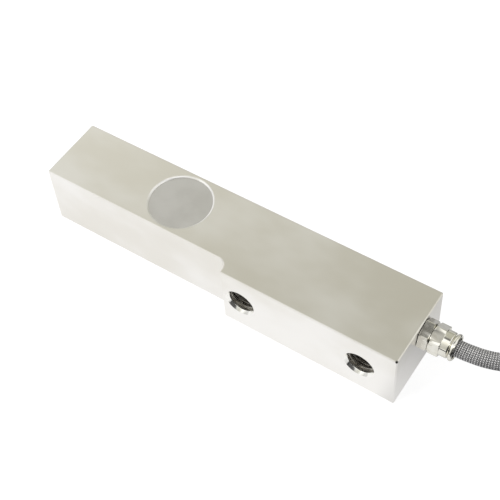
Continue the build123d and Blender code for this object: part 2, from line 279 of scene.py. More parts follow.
def smoothLine(name, points, resolution):
    curve = bpy.data.curves.new(name, "CURVE")
    curve.dimensions = "3D"
    spline = curve.splines.new("NURBS")
    spline.points.add(len(points) - 1)
    for knot, place in zip(spline.points, points):
        knot.co = (*place, 1)
    spline.order_u = 3
    spline.use_endpoint_u = True
    spline.resolution_u = resolution
    thing = makeObject(name, curve)
    bare = bpy.data.meshes.new_from_object(thing)
    line = [v.co.copy() for v in bare.vertices]
    bpy.data.objects.remove(thing)
    bpy.data.curves.remove(curve)
    bpy.data.meshes.remove(bare)
    return line


cableLine = smoothLine("cableLine", cablePoints(), cable["lineSteps"])
cableLength = sum((b - a).length for a, b in zip(cableLine, cableLine[1:]))
print("cable line", len(cableLine), "points,", round(cableLength, 3), "m")


# Shader groups

plating = {
    "patchDetail": 3.0,
    "patchRoughness": 0.55,
    "patchRange": (0.34, 0.66),
    "grainDetail": 2.0,
    "speckle": 0.06,
}
weave = {
    "edgeFrom": 0.72,  # where a strand's edge starts to fall, as a share of its half width
    "middle": 0.65,
    "swing": 0.35,  # how far a strand rises and sinks as it passes over and under
    "strandRange": (0.2, 0.75),
    "lightRange": (0.0, 0.15),
}


def platedFinish():
    # cloudy plating: two tones in soft patches, a fine grain, and roughness that follows them
    tree, given, out = newGroup(
        "platedFinish", "ShaderNodeTree",
        [
            ("Light", "NodeSocketColor", None),
            ("Dark", "NodeSocketColor", None),
            ("Patch Scale", "NodeSocketFloat", 22.0),
            ("Patch Stretch", "NodeSocketVector", (1.0, 1.0, 1.0)),
            ("Grain Scale", "NodeSocketFloat", 2500.0),
            ("Smooth", "NodeSocketFloat", 0.25),
            ("Rough", "NodeSocketFloat", 0.4),
        ],
        [("Colour", "NodeSocketColor"), ("Roughness", "NodeSocketFloat"), ("Height", "NodeSocketFloat")],
    )
    place = objectPlace(tree)
    stretched = vectorCalc(tree, "MULTIPLY", place, given["Patch Stretch"])
    patches = addNode(
        tree, "ShaderNodeTexNoise",
        Vector=stretched, Scale=given["Patch Scale"],
        Detail=plating["patchDetail"], Roughness=plating["patchRoughness"],
    )
    patch = ramp(tree, patches.outputs["Fac"], *plating["patchRange"])
    grain = noise(tree, place, given["Grain Scale"], plating["grainDetail"])
    speckle = calc(tree, "MULTIPLY_ADD", grain, plating["speckle"], -plating["speckle"] / 2)
    tone = calc(tree, "ADD", patch, speckle)
    feed(tree, blendColours(tree, tone, given["Dark"], given["Light"]), out["Colour"])
    span = calc(tree, "SUBTRACT", given["Rough"], given["Smooth"])
    feed(tree, calc(tree, "MULTIPLY_ADD", tone, span, given["Smooth"]), out["Roughness"])
    feed(tree, grain, out["Height"])
    return tree


def crossingWave(tree, share, carriers):
    # one wave for each crossing of two strands along the cable
    return calc(tree, "COSINE", calc(tree, "MULTIPLY", calc(tree, "MULTIPLY", share, carriers), 2 * pi))


def weavePattern():
    # a light and a dark family of flat strands that cross over and under each other round the cable; the light
    # family is painted highlight and the dark family painted shade
    tree, given, out = newGroup(
        "weavePattern", "ShaderNodeTree",
        [
            ("Carriers", "NodeSocketFloat", 24.0),
            ("Lay", "NodeSocketFloat", 0.0286),
            ("Band", "NodeSocketFloat", 0.78),
        ],
        [("Light", "NodeSocketFloat"), ("Strand", "NodeSocketFloat"), ("Height", "NodeSocketFloat")],
    )
    place = addNode(tree, "ShaderNodeAttribute", {"attribute_name": "around"})
    along = addNode(tree, "ShaderNodeAttribute", {"attribute_name": "along"}).outputs["Fac"]
    split = addNode(tree, "ShaderNodeSeparateXYZ", Vector=place.outputs["Vector"])
    turn = calc(tree, "DIVIDE", calc(tree, "ARCTAN2", split.outputs["Y"], split.outputs["X"]), 2 * pi)
    share = calc(tree, "DIVIDE", along, given["Lay"])
    wave = crossingWave(tree, share, given["Carriers"])
    heights = []
    for hand in (-1.0, 1.0):
        lane = calc(tree, "MULTIPLY", calc(tree, "MULTIPLY_ADD", share, hand, turn), given["Carriers"])
        within = calc(tree, "FRACT", calc(tree, "ADD", lane, 0.5))
        off = calc(tree, "ABSOLUTE", calc(tree, "SUBTRACT", within, 0.5))
        edge = calc(tree, "MULTIPLY", given["Band"], 0.5)
        fallFrom = calc(tree, "MULTIPLY", edge, weave["edgeFrom"])
        strand = calc(tree, "SUBTRACT", 1.0, ramp(tree, off, fallFrom, edge))
        over = calc(tree, "MULTIPLY_ADD", wave, -weave["swing"] * hand, weave["middle"])
        heights.append(calc(tree, "MULTIPLY", strand, over))
    height = calc(tree, "MAXIMUM", *heights)
    feed(tree, height, out["Height"])
    feed(tree, ramp(tree, height, *weave["strandRange"]), out["Strand"])
    feed(tree, ramp(tree, calc(tree, "SUBTRACT", *heights), *weave["lightRange"]), out["Light"])
    return tree


groups = {"plated": platedFinish(), "weave": weavePattern()}


def newMaterial(name, settings):
    material = bpy.data.materials.new(name)
    material.use_nodes = True
    shader = material.node_tree.nodes["Principled BSDF"]
    for socket, value in settings.items():
        shader.inputs[socket].default_value = value
    return material, material.node_tree, shader


def useGroup(tree, group, inputs):
    node = tree.nodes.new("ShaderNodeGroup")
    node.node_tree = groups[group]
    for name, value in inputs.items():
        node.inputs[name].default_value = value
    return node.outputs


def bumpInto(tree, shader, height, distance, strength=1.0):
    bump = addNode(tree, "ShaderNodeBump", Height=height, Distance=distance, Strength=strength)
    tree.links.new(bump.outputs["Normal"], shader.inputs["Normal"])


# Metal finishes

metals = {
    "beamNickel": {
        "Light": (0.94, 0.924, 0.895, 1), "Dark": (0.83, 0.805, 0.75, 1), "Patch Scale": 22.0,
        "Patch Stretch": (0.7, 1.2, 1.0),
        "Grain Scale": 2600.0, "Smooth": 0.29, "Rough": 0.34, "bump": 0.0015,
    },
    "brightEdge": {
        "Light": (0.96, 0.95, 0.92, 1), "Dark": (0.90, 0.89, 0.85, 1), "Patch Scale": 200.0,
        "Grain Scale": 3000.0, "Smooth": 0.12, "Rough": 0.2, "bump": 0.003,
    },
    "coverSteel": {
        "Light": (0.745, 0.735, 0.72, 1), "Dark": (0.675, 0.665, 0.655, 1), "Patch Scale": 70.0,
        "Grain Scale": 1800.0, "Smooth": 0.36, "Rough": 0.46, "bump": 0.008,
    },
    "glandNickel": {
        "Light": (0.86, 0.84, 0.77, 1), "Dark": (0.78, 0.76, 0.69, 1), "Patch Scale": 300.0,
        "Grain Scale": 6000.0, "Smooth": 0.12, "Rough": 0.22, "bump": 0.002,
    },
    "collarNickel": {
        "Light": (0.94, 0.925, 0.85, 1), "Dark": (0.87, 0.85, 0.765, 1), "Patch Scale": 300.0,
        "Grain Scale": 6000.0, "Smooth": 0.05, "Rough": 0.1, "bump": 0.001,
    },
    "rimNickel": {
        "Light": (0.97, 0.96, 0.93, 1), "Dark": (0.92, 0.91, 0.87, 1), "Patch Scale": 200.0,
        "Grain Scale": 3000.0, "Smooth": 0.28, "Rough": 0.36, "bump": 0.003,
    },
    "tappedSteel": {
        "Light": (0.62, 0.595, 0.54, 1), "Dark": (0.40, 0.38, 0.34, 1), "Patch Scale": 400.0,
        "Grain Scale": 5000.0, "Smooth": 0.25, "Rough": 0.4, "bump": 0.004,
    },
    # painted shade: near-black metal standing in for the gland's threads in shadow in the neck gap
    "shadedThread": {
        "Light": (0.16, 0.155, 0.14, 1), "Dark": (0.07, 0.068, 0.06, 1), "Patch Scale": 400.0,
        "Grain Scale": 5000.0, "Smooth": 0.35, "Rough": 0.5, "bump": 0.004,
    },
    "boardBrass": {
        "Light": (0.80, 0.62, 0.30, 1), "Dark": (0.62, 0.46, 0.20, 1), "Patch Scale": 300.0,
        "Grain Scale": 6000.0, "Smooth": 0.2, "Rough": 0.35, "bump": 0.002,
    },
    "tinnedCopper": {
        "Light": (0.82, 0.81, 0.78, 1), "Dark": (0.62, 0.60, 0.56, 1), "Patch Scale": 800.0,
        "Patch Stretch": (0.2, 1.0, 1.0),
        "Grain Scale": 8000.0, "Smooth": 0.2, "Rough": 0.35, "bump": 0.01,
    },
}
cornerNick = {
    "place": (cableEnd, padFace, beamTop), "core": 0.75 * mm, "size": 1.5 * mm,
    "colour": (0.02, 0.018, 0.015, 1),
}


def metalMaterial(name):
    values = {key: value for key, value in metals[name].items() if key != "bump"}
    material, tree, shader = newMaterial(name, {"Metallic": 1.0})
    finish = useGroup(tree, "plated", values)
    colour = finish["Colour"]
    if name == "beamNickel":  # the small chip in the plating at the top corner beside the gland
        place = objectPlace(tree)
        away = vectorCalc(tree, "DISTANCE", place, cornerNick["place"])
        chip = ramp(tree, away, cornerNick["core"], cornerNick["size"], 1.0, 0.0)
        colour = blendColours(tree, chip, colour, cornerNick["colour"])
    feed(tree, colour, shader.inputs["Base Color"])
    feed(tree, finish["Roughness"], shader.inputs["Roughness"])
    bumpInto(tree, shader, finish["Height"], metals[name]["bump"] * mm)
    return material


# Plastics, rubber and lacquer: one colour with a soft change of tone and a fine grain

plastics = {
    "blackNylon": {"colour": (0.022, 0.022, 0.024, 1), "roughness": 0.42, "grain": 1500.0, "bump": 0.02},
    "heatShrink": {"colour": (0.018, 0.018, 0.019, 1), "roughness": 0.5, "grain": 900.0, "bump": 0.03},
    # black rubber for the sealing ring, also used as painted shade inside the ferrule's mouth
    "sealRubberAndMouthShade": {"colour": (0.02, 0.02, 0.02, 1), "roughness": 0.6, "grain": 2500.0, "bump": 0.01},
    "innerJacket": {"colour": (0.02, 0.02, 0.021, 1), "roughness": 0.55, "grain": 1500.0, "bump": 0.02},
    "redInsulation": {"colour": (0.52, 0.03, 0.02, 1), "roughness": 0.32, "grain": 2500.0, "bump": 0.005},
    "blackInsulation": {"colour": (0.015, 0.015, 0.016, 1), "roughness": 0.32, "grain": 2500.0, "bump": 0.005},
    "greenInsulation": {"colour": (0.02, 0.27, 0.07, 1), "roughness": 0.32, "grain": 2500.0, "bump": 0.005},
    "whiteInsulation": {"colour": (0.80, 0.79, 0.74, 1), "roughness": 0.32, "grain": 2500.0, "bump": 0.005},
    "gaugeFilm": {"colour": (0.62, 0.33, 0.08, 1), "roughness": 0.3, "grain": 3000.0, "bump": 0.002},
    "boardGreen": {"colour": (0.02, 0.16, 0.05, 1), "roughness": 0.35, "grain": 2000.0, "bump": 0.004},
    "chipBlack": {"colour": (0.03, 0.03, 0.032, 1), "roughness": 0.45, "grain": 3000.0, "bump": 0.004},
    "terminalCream": {"colour": (0.74, 0.70, 0.58, 1), "roughness": 0.4, "grain": 2500.0, "bump": 0.006},
}
moulding = {
    "grainDetail": 3.0,
    "softDetail": 2.0,
    "softCell": 12,  # grains across one soft patch
    "range": (0.3, 0.7),
    "paler": 1.35,
    "lift": 0.006,
    "smoother": 0.05,
    "rougher": 0.08,
}


def plasticMaterial(name):
    values = plastics[name]
    material, tree, shader = newMaterial(name, {"Metallic": 0.0})
    place = objectPlace(tree)
    grain = noise(tree, place, values["grain"], moulding["grainDetail"])
    soft = noise(tree, place, values["grain"] / moulding["softCell"], moulding["softDetail"])
    paler = tuple(min(1.0, moulding["paler"] * c + moulding["lift"]) for c in values["colour"][:3]) + (1,)
    patch = ramp(tree, soft, *moulding["range"])
    feed(tree, blendColours(tree, patch, values["colour"], paler), shader.inputs["Base Color"])
    roughRange = (values["roughness"] - moulding["smoother"], values["roughness"] + moulding["rougher"])
    feed(tree, ramp(tree, grain, *moulding["range"], *roughRange), shader.inputs["Roughness"])
    bumpInto(tree, shader, grain, values["bump"] * mm)
    return material


# Braid: pale and darker strands of one metal over a black jacket; the pale strands are painted highlight and
# the darker ones painted shade

braid = {
    "carriers": 24,
    "lay": 28.6,  # mm along the cable for one turn of a strand
    "band": 0.78,
    # pale and dark tones of the same strand metal: painted highlight and painted shade
    "pale": ((0.98, 0.97, 0.975, 1), (0.86, 0.85, 0.855, 1)),
    "dark": ((0.34, 0.34, 0.345, 1), (0.21, 0.21, 0.215, 1)),
    "gap": (0.04, 0.04, 0.042, 1),
    "wovenLength": 58.0,  # mm of the cable whose strands are modelled one by one
    "blendFrom": 0.985,  # where the drawn weave starts to take over, as a share of that length
    "strandSunk": 0.12,
    "strandLift": 0.15,
    "strandWidth": 0.62,
    "strandThickness": 0.2,
    "strandStep": 0.22,
    "strandSides": 6,
    "coreRadius": 3.8,
    "toneScale": 1400.0,
    "toneDetail": 2.0,
    "toneRange": (0.35, 0.65),
    "roughRange": (0.3, 0.7),
    "strandRough": (0.3, 0.45),
    "strandBump": 0.03,
    "drawnRough": (0.6, 0.38),
    "drawnBump": 0.12,
}


def strandTone(tree, shade):
    place = objectPlace(tree)
    tone = noise(tree, place, braid["toneScale"], braid["toneDetail"])
    return blendColours(tree, ramp(tree, tone, *braid["toneRange"]), *braid[shade]), tone


def strandMaterial(name, shade):
    material, tree, shader = newMaterial(name, {"Metallic": 1.0})
    colour, tone = strandTone(tree, shade)
    feed(tree, colour, shader.inputs["Base Color"])
    feed(tree, ramp(tree, tone, *braid["roughRange"], *braid["strandRough"]), shader.inputs["Roughness"])
    bumpInto(tree, shader, tone, braid["strandBump"] * mm)
    return material


def tubeMaterial(name):
    # past the modelled strands the same weave is drawn on the tube; under them it is plain jacket
    material, tree, shader = newMaterial(name, {})
    pattern = useGroup(tree, "weave", {
        "Carriers": braid["carriers"], "Lay": braid["lay"] * mm, "Band": braid["band"],
    })
    along = addNode(tree, "ShaderNodeAttribute", {"attribute_name": "along"}).outputs["Fac"]
    length = braid["wovenLength"] * mm
    drawn = ramp(tree, along, braid["blendFrom"] * length, length)
    strand = calc(tree, "MULTIPLY", pattern["Strand"], drawn)
    # the pale strands are painted highlight, the dark strands painted shade
    dark, pale = strandTone(tree, "dark")[0], strandTone(tree, "pale")[0]
    strandColour = blendColours(tree, pattern["Light"], dark, pale)
    feed(tree, blendColours(tree, strand, braid["gap"], strandColour), shader.inputs["Base Color"])
    feed(tree, strand, shader.inputs["Metallic"])
    feed(tree, ramp(tree, strand, 0.0, 1.0, *braid["drawnRough"]), shader.inputs["Roughness"])
    bumpInto(tree, shader, calc(tree, "MULTIPLY", pattern["Height"], drawn), braid["drawnBump"] * mm)
    return material


materials = {name: metalMaterial(name) for name in metals}
materials.update({name: plasticMaterial(name) for name in plastics})
materials["highlightStrands"] = strandMaterial("highlightStrands", "pale")
materials["shadeStrands"] = strandMaterial("shadeStrands", "dark")
materials["braidedCable"] = tubeMaterial("braidedCable")
print("materials", len(materials))


# Geometry node trees: cable tube, braid strands, thread ridge

def storeValue(tree, geometry, name, kind, value):
    node = addNode(tree, "GeometryNodeStoreNamedAttribute", {"data_type": kind}, Geometry=geometry, Name=name)
    feed(tree, value, node.inputs["Value"])
    return node.outputs["Geometry"]


def readValue(tree, name, kind):
    node = addNode(tree, "GeometryNodeInputNamedAttribute", {"data_type": kind}, Name=name)
    return node.outputs["Attribute"]


def finishTree(tree, geometry, material):
    smooth = addNode(tree, "GeometryNodeSetShadeSmooth", Geometry=geometry)
    real = addNode(tree, "GeometryNodeRealizeInstances", Geometry=smooth.outputs["Geometry"])
    dressed = addNode(tree, "GeometryNodeSetMaterial", Geometry=real.outputs["Geometry"], Material=material)
    return dressed.outputs["Geometry"]


def cableTube():
    tree, given, out = newGroup(
        "cableTube", "GeometryNodeTree",
        [
            ("Line", "NodeSocketGeometry", None),
            ("Radius", "NodeSocketFloat", 0.0041),
            ("Core Share", "NodeSocketFloat", 0.93),
            ("Woven Length", "NodeSocketFloat", 0.058),
            ("Step", "NodeSocketFloat", 0.002),
            ("Sides", "NodeSocketInt", 24),
            ("Finish", "NodeSocketMaterial", None),
        ],
        [("Tube", "NodeSocketGeometry")],
    )
    curve = addNode(tree, "GeometryNodeMeshToCurve", Mesh=given["Line"]).outputs["Curve"]
    even = addNode(tree, "GeometryNodeResampleCurve", {"mode": "LENGTH"}, Curve=curve, Length=given["Step"])
    along = addNode(tree, "GeometryNodeSplineParameter").outputs["Length"]
    marked = storeValue(tree, even.outputs["Curve"], "along", "FLOAT", along)
    circle = addNode(
        tree, "GeometryNodeCurvePrimitiveCircle",
        Resolution=given["Sides"], Radius=given["Radius"],
    )
    around = vectorCalc(tree, "NORMALIZE", addNode(tree, "GeometryNodeInputPosition").outputs["Position"])
    ring = storeValue(tree, circle.outputs["Curve"], "around", "FLOAT_VECTOR", around)
    fullFrom = calc(tree, "MULTIPLY", given["Woven Length"], braid["blendFrom"])
    size = ramp(tree, along, fullFrom, given["Woven Length"], given["Core Share"], 1.0)
    tube = addNode(tree, "GeometryNodeCurveToMesh", Curve=marked, Scale=size)
    feed(tree, ring, tube.inputs["Profile Curve"])
    tube.inputs["Fill Caps"].default_value = True
    feed(tree, finishTree(tree, tube.outputs["Mesh"], given["Finish"]), out["Tube"])
    return tree


def braidStrands():
    # each strand winds round the line, lifted where it passes over the others
    tree, given, out = newGroup(
        "braidStrands", "GeometryNodeTree",
        [
            ("Line", "NodeSocketGeometry", None),
            ("Radius", "NodeSocketFloat", 0.0041),
            ("Carriers", "NodeSocketInt", 24),
            ("Lay", "NodeSocketFloat", 0.0286),
            ("Lift", "NodeSocketFloat", 0.00014),
            ("Width", "NodeSocketFloat", 0.0006),
            ("Thickness", "NodeSocketFloat", 0.00018),
            ("Step", "NodeSocketFloat", 0.0002),
            ("Sides", "NodeSocketInt", 6),
            ("Highlight Finish", "NodeSocketMaterial", None),
            ("Shade Finish", "NodeSocketMaterial", None),
        ],
        [("Strands", "NodeSocketGeometry")],
    )
    curve = addNode(tree, "GeometryNodeMeshToCurve", Mesh=given["Line"]).outputs["Curve"]
    even = addNode(tree, "GeometryNodeResampleCurve", {"mode": "LENGTH"}, Curve=curve, Length=given["Step"])
    share = calc(tree, "DIVIDE", addNode(tree, "GeometryNodeSplineParameter").outputs["Length"], given["Lay"])
    wave = crossingWave(tree, share, given["Carriers"])
    normal = addNode(tree, "GeometryNodeInputNormal").outputs["Normal"]
    tangent = addNode(tree, "GeometryNodeInputTangent").outputs["Tangent"]
    sideways = vectorCalc(tree, "CROSS_PRODUCT", tangent, normal)
    ring = addNode(tree, "GeometryNodeCurvePrimitiveCircle", Resolution=given["Sides"], Radius=0.5)
    size = addNode(tree, "ShaderNodeCombineXYZ", X=given["Thickness"], Y=given["Width"], Z=1.0)
    flat = addNode(
        tree, "GeometryNodeTransform",
        Geometry=ring.outputs["Curve"], Scale=size.outputs["Vector"],
    )
    both = tree.nodes.new("GeometryNodeJoinGeometry")
    for hand in (1.0, -1.0):
        copies = addNode(tree, "GeometryNodeDuplicateElements", {"domain": "SPLINE"},
                         Geometry=even.outputs["Curve"], Amount=given["Carriers"])
        slot = calc(tree, "DIVIDE", copies.outputs["Duplicate Index"], given["Carriers"])
        angle = calc(tree, "MULTIPLY", calc(tree, "MULTIPLY_ADD", share, hand, slot), 2 * pi)
        outwards = vectorCalc(
            tree, "ADD",
            vectorCalc(tree, "SCALE", normal, calc(tree, "COSINE", angle)),
            vectorCalc(tree, "SCALE", sideways, calc(tree, "SINE", angle)),
        )
        kept = storeValue(tree, copies.outputs["Geometry"], "outwards", "FLOAT_VECTOR", outwards)
        rise = calc(tree, "MULTIPLY", calc(tree, "MULTIPLY", wave, given["Lift"]), hand)
        radial = readValue(tree, "outwards", "FLOAT_VECTOR")
        reach = vectorCalc(tree, "SCALE", radial, calc(tree, "ADD", given["Radius"], rise))
        wound = addNode(tree, "GeometryNodeSetPosition", Geometry=kept, Offset=reach)
        laid = addNode(tree, "GeometryNodeSetCurveNormal", {"mode": "FREE"}, Curve=wound.outputs["Geometry"])
        feed(tree, radial, laid.inputs["Normal"])
        strand = addNode(tree, "GeometryNodeCurveToMesh", Curve=laid.outputs["Curve"])
        feed(tree, flat.outputs["Geometry"], strand.inputs["Profile Curve"])
        strand.inputs["Fill Caps"].default_value = True
        marked = storeValue(tree, strand.outputs["Mesh"], "shade", "FLOAT", hand)
        tree.links.new(marked, both.inputs["Geometry"])
    # one hand of strands gets the pale finish, a painted highlight, and the other the dark finish, painted
    # shade
    pale = finishTree(tree, both.outputs["Geometry"], given["Highlight Finish"])
    shade = readValue(tree, "shade", "FLOAT")
    isDark = addNode(tree, "FunctionNodeCompare", {"operation": "LESS_THAN"}, A=shade, B=0.0)
    dressed = addNode(tree, "GeometryNodeSetMaterial", Geometry=pale, Material=given["Shade Finish"])
    feed(tree, isDark.outputs["Result"], dressed.inputs["Selection"])
    feed(tree, dressed.outputs["Geometry"], out["Strands"])
    return tree


ridge = {  # widths as shares of the pitch, the rest as shares of the depth
    "root": 0.9,
    "crest": 0.2,
    "sunk": 0.49,
    "firstSize": 0.15,
}


def threadRidge():
    # one helical ridge on a hole's wall, about Z, growing out of the wall over its first turn
    tree, given, out = newGroup(
        "threadRidge", "GeometryNodeTree",
        [
            ("Turns", "NodeSocketFloat", 12.5),
            ("Pitch", "NodeSocketFloat", 0.002),
            ("Wall Radius", "NodeSocketFloat", 0.008),
            ("Depth", "NodeSocketFloat", 0.00108),
            ("Steps", "NodeSocketInt", 60),
            ("Finish", "NodeSocketMaterial", None),
        ],
        [("Ridge", "NodeSocketGeometry")],
    )
    height = calc(tree, "MULTIPLY", given["Turns"], given["Pitch"])
    spiral = addNode(
        tree, "GeometryNodeCurveSpiral",
        Resolution=given["Steps"], Rotations=given["Turns"], Height=height,
    )
    feed(tree, given["Wall Radius"], spiral.inputs["Start Radius"])
    feed(tree, given["Wall Radius"], spiral.inputs["End Radius"])
    place = addNode(tree, "GeometryNodeInputPosition").outputs["Position"]
    inwards = vectorCalc(tree, "NORMALIZE", vectorCalc(tree, "MULTIPLY", place, (-1.0, -1.0, 0.0)))
    turned = addNode(
        tree, "GeometryNodeSetCurveNormal", {"mode": "FREE"},
        Curve=spiral.outputs["Curve"], Normal=inwards,
    )
    outline = addNode(tree, "GeometryNodeCurvePrimitiveQuadrilateral", {"mode": "TRAPEZOID"})
    feed(tree, calc(tree, "MULTIPLY", given["Pitch"], ridge["root"]), outline.inputs["Bottom Width"])
    feed(tree, calc(tree, "MULTIPLY", given["Pitch"], ridge["crest"]), outline.inputs["Top Width"])
    outline.inputs["Offset"].default_value = 0.0
    feed(tree, given["Depth"], outline.inputs["Height"])
    sunk = calc(tree, "MULTIPLY", given["Depth"], ridge["sunk"])
    seat = addNode(tree, "ShaderNodeCombineXYZ", X=sunk, Y=0.0, Z=0.0)
    profile = addNode(tree, "GeometryNodeTransform", Geometry=outline.outputs["Curve"],
                      Translation=seat.outputs["Vector"], Rotation=(0.0, 0.0, -pi / 2))
    factor = addNode(tree, "GeometryNodeSplineParameter").outputs["Factor"]
    grown = ramp(tree, factor, 0.0, calc(tree, "DIVIDE", 1.0, given["Turns"]), ridge["firstSize"], 1.0)
    swept = addNode(tree, "GeometryNodeCurveToMesh", Curve=turned.outputs["Curve"], Scale=grown)
    feed(tree, profile.outputs["Geometry"], swept.inputs["Profile Curve"])
    swept.inputs["Fill Caps"].default_value = True
    feed(tree, finishTree(tree, swept.outputs["Mesh"], given["Finish"]), out["Ridge"])
    return tree


# Cable and its braid

def lineMesh(name, line):
    mesh = bpy.data.meshes.new(name)
    mesh.from_pydata(line, [(i, i + 1) for i in range(len(line) - 1)], [])
    return mesh


def lineStart(line, length):
    # the line's points up to a length along it
    kept, run = [line[0]], 0.0
    for a, b in zip(line, line[1:]):
        run += (b - a).length
        if run > length:
            break
        kept.append(b)
    return kept


cableFinish = {
    "Radius": cable["radius"] * mm, "Core Share": braid["coreRadius"] / cable["radius"],
    "Woven Length": braid["wovenLength"] * mm, "Step": cable["tubeStep"] * mm, "Sides": cable["tubeSides"],
    "Finish": materials["braidedCable"],
}
cablePiece = runTree("braided_cable", cableTube(), cableFinish, lineMesh("cableLine", cableLine))
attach(cablePiece, body)
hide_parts("cable_run", "cable_hank")

strandFinish = {
    "Radius": (cable["radius"] - braid["strandSunk"]) * mm,
    "Carriers": braid["carriers"], "Lay": braid["lay"] * mm,
    "Lift": braid["strandLift"] * mm, "Width": braid["strandWidth"] * mm,
    "Thickness": braid["strandThickness"] * mm,
    "Step": braid["strandStep"] * mm, "Sides": braid["strandSides"],
    "Highlight Finish": materials["highlightStrands"], "Shade Finish": materials["shadeStrands"],
}
wovenLine = lineStart(cableLine, braid["wovenLength"] * mm)
strandPiece = runTree("braid_strands", braidStrands(), strandFinish, lineMesh("wovenLine", wovenLine))
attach(strandPiece, body)
for piece in (cablePiece, strandPiece):
    piece.data.calc_loop_triangles()
    print(piece.name, len(piece.data.loop_triangles), "triangles")


# Threads in the tapped holes

threads = {
    "pitch": 2.0, "wall": 8.0, "depth": 1.08, "turns": 11.9,
    "from": 1.7,  # below the face
    "steps": 60, "sharpAngle": 30,
}
tappedHoles = {  # mouth on the axis, and the way out of the hole
    "pad_thread_near": ((cableEnd - 19.5 * mm, padFace, beamTop / 2), (0, -1, 0)),
    "pad_thread_far": ((cableEnd - 87.0 * mm, padFace, beamTop / 2), (0, -1, 0)),
    "load_thread": ((beamLow.x + 19.0 * mm, rearFace, beamTop / 2), (0, 1, 0)),
}


def cutThreads():
    tree = threadRidge()
    settings = {
        "Turns": threads["turns"], "Pitch": threads["pitch"] * mm, "Wall Radius": threads["wall"] * mm,
        "Depth": threads["depth"] * mm, "Steps": threads["steps"], "Finish": materials["tappedSteel"],
    }
    for name, (mouth, outwards) in tappedHoles.items():
        thread = runTree(name, tree, settings)
        inwards = -Vector(outwards)
        turn = inwards.to_track_quat("Z", "Y").to_matrix().to_4x4()
        start = Vector(mouth) + inwards * threads["from"] * mm
        thread.data.transform(Matrix.Translation(start) @ turn)
        thread.data.set_sharp_from_angle(angle=radians(threads["sharpAngle"]))
        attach(thread, body)


cutThreads()
print("threads cut")


# Turned pieces: rings of points round an axis, closed back on themselves

def turnedMesh(name, centre, axis, across, rings, angles):
    # each ring is a distance along the axis and one radius for each angle
    axis, across = Vector(axis), Vector(across)
    third = axis.cross(across)
    points, faces, count = [], [], len(angles)
    for distance, radii in rings:
        for angle, radius in zip(angles, radii):
            spot = axis * distance + (across * cos(angle) + third * sin(angle)) * radius
            points.append(Vector(centre) + spot * mm)
    for ring in range(len(rings)):
        after = (ring + 1) % len(rings)
        for k in range(count):
            m = (k + 1) % count
            faces.append((ring * count + k, ring * count + m, after * count + m, after * count + k))
    return makeMesh(name, points, faces, sharpAngle=25)


def roundAngles(steps):
    return [2 * pi * k / steps for k in range(steps)]


# Gland: sealing ring, hexagons, collar and rolled ferrule, with painted shade in the neck gap and in the
# ferrule's mouth

gland = {
    "acrossFlats": 14.0,
    "cornerRadius": 7.97,
    "flatPoints": 11,
    "bodyTurn": 17.0,  # degrees, a corner's place from +Y towards +Z
    "nutTurn": 22.0,
    "roundSteps": 96,
}
glandRings = {  # distance out from the end face, radius, and H where the section is a hexagon
    "sealing_ring": [(0.0, 6.0), (0.0, 6.75), (0.08, 6.85), (0.36, 6.85), (0.42, 6.8), (0.42, 6.0)],
    "entry_body": [
        (-9.0, 5.0), (-9.0, 5.6), (-8.6, 6.0), (0.3, 6.0), (0.3, 7.8, "H"), (0.45, 7.97, "H"),
        (4.75, 7.97, "H"), (5.1, 7.15, "H"), (5.15, 7.05, "H"), (5.15, 5.2), (5.15, 4.6), (-9.0, 4.6),
    ],
    # a near-black ring in the gap between the two hexagons: painted shade for the threads deep in the gap
    "neck_painted_shade": [(5.1, 4.7), (5.1, 5.4), (5.45, 5.4), (5.45, 4.7)],
    "clamping_nut": [
        (5.4, 4.9), (5.4, 7.05, "H"), (5.45, 7.15, "H"), (6.05, 7.97, "H"), (10.75, 7.97, "H"),
        (11.0, 7.75, "H"), (11.0, 6.72), (11.1, 6.62), (11.2, 6.6), (14.35, 6.6), (14.65, 6.55),
        (14.88, 6.4), (15.0, 6.15), (15.0, 4.9),
    ],
    "rolled_ferrule": [
        (12.0, 4.5), (12.0, 4.95), (15.5, 4.95), (15.5, 5.9), (15.58, 6.3), (15.85, 6.66), (16.3, 6.87),
        (16.65, 6.9), (17.05, 6.84), (17.45, 6.6), (17.66, 6.25), (17.7, 5.95), (17.62, 5.68), (17.45, 5.55),
        (17.2, 5.5),
    ],
    # a black lining inside the ferrule's mouth: painted shade for the dark gap round the braid, not a part
    "mouth_painted_shade": [
        (17.2, 5.5), (17.2, 5.46), (16.4, 5.2), (15.4, 4.75), (14.4, 4.15), (14.2, 4.5), (15.2, 4.9),
        (16.2, 5.3),
    ],
}
glandDress = {  # the CAD node that each replaces, its finish and its slot in the record
    "sealing_ring": ("gland_seal", "sealRubberAndMouthShade", "seal"),
    "entry_body": ("gland_body", "glandNickel", "gland"),
    # painted shade in the neck gap
    "neck_painted_shade": (None, "shadedThread", "gland"),
    "clamping_nut": ("gland_nut", "collarNickel", "gland"),
    "rolled_ferrule": ("braid_ferrule", "collarNickel", "gland"),
    # painted shade in the ferrule's mouth, in the black rubber finish
    "mouth_painted_shade": (None, "sealRubberAndMouthShade", "seal"),
}


def flatAngles():
    # even steps over each flat and one at each corner, from the nearest flat's middle
    half = acos(gland["acrossFlats"] / 2 / gland["cornerRadius"])
    count = gland["flatPoints"]
    local = [half * (2 * k / (count - 1) - 1) for k in range(count)] + [radians(30)]
    return [(radians(30 + 60 * side) + a, a) for side in range(6) for a in local]


